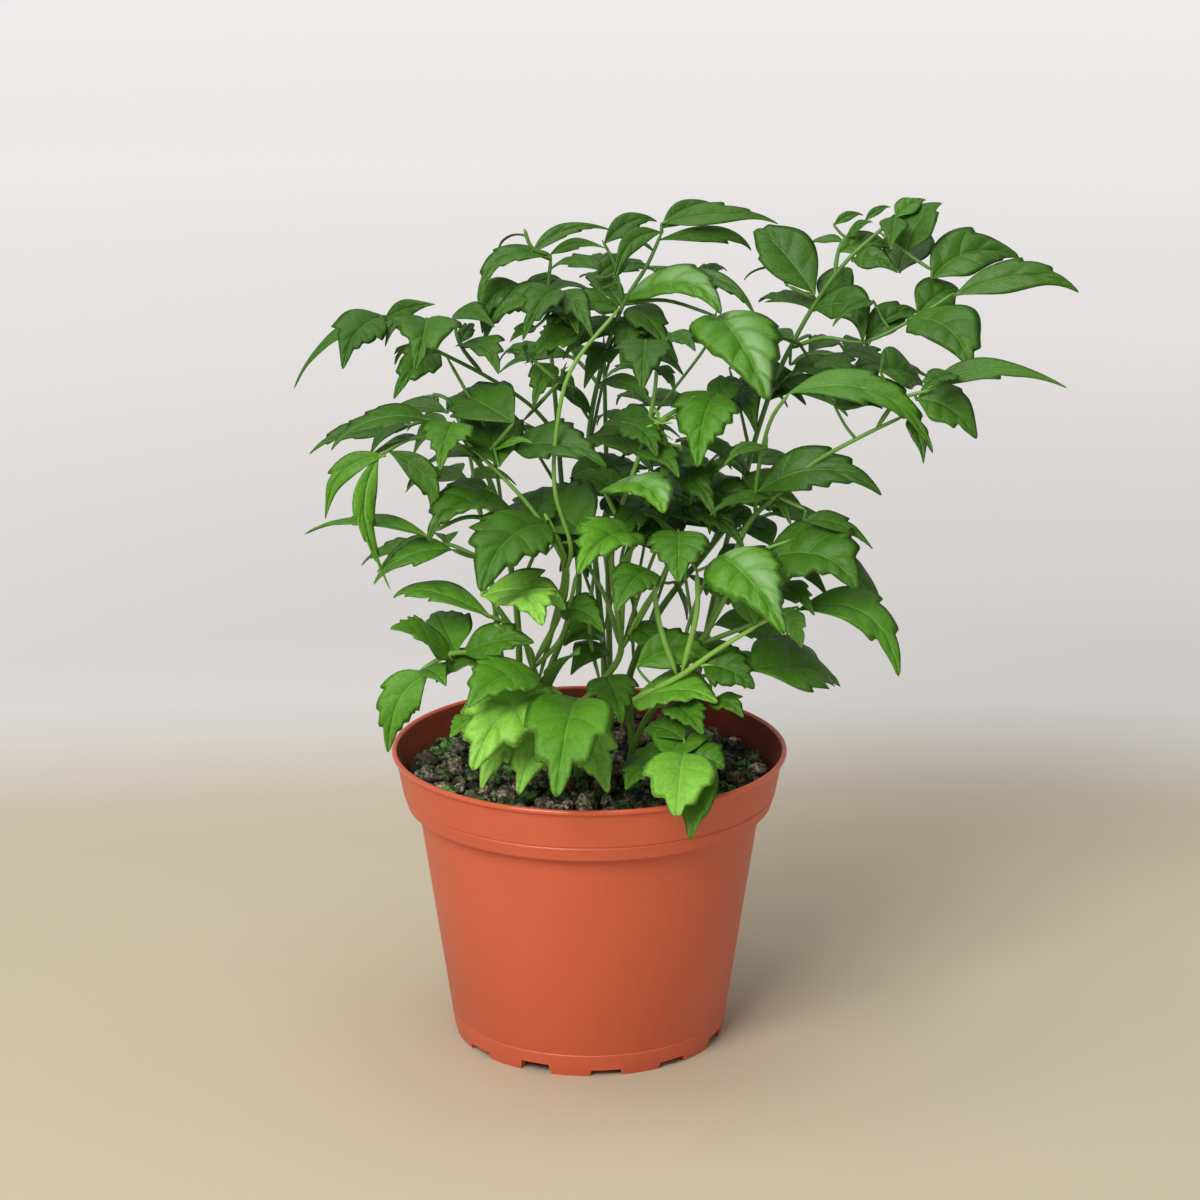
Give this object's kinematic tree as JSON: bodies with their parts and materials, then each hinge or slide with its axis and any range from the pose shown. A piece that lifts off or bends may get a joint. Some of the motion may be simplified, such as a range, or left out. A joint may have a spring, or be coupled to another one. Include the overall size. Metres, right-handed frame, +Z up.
{
  "type": "potted house plant",
  "caption": "Bushy young house plant with glossy toothed leaflets on branching stems, standing in a thin round nursery pot with a wide band under a rolled lip.",
  "frame": {"origin": "centre of the whole plant's box on the surface the pot stands on", "axes": "+Z up, -Y toward the plant's front, +X to the right as seen from the front"},
  "size_m": [0.211, 0.1618, 0.2284],
  "materials": {
    "pot": "satin terracotta-coloured polypropylene",
    "soil": null,
    "foliage": null
  },
  "bodies": {
    "root": {"pot": "pot", "soil": "soil", "seedling_front": "foliage", "stem_back": "foliage", "stem_back_left": "foliage", "stem_back_right": "foliage", "stem_centre": "foliage", "stem_front": "foliage", "stem_front_right": "foliage", "stem_left": "foliage", "stem_left_low": "foliage", "stem_right": "foliage", "stem_right_low": "foliage", "stem_right_top": "foliage", "stem_top": "foliage", "stem_upper_left": "foliage"}
  },
  "joints": []
}
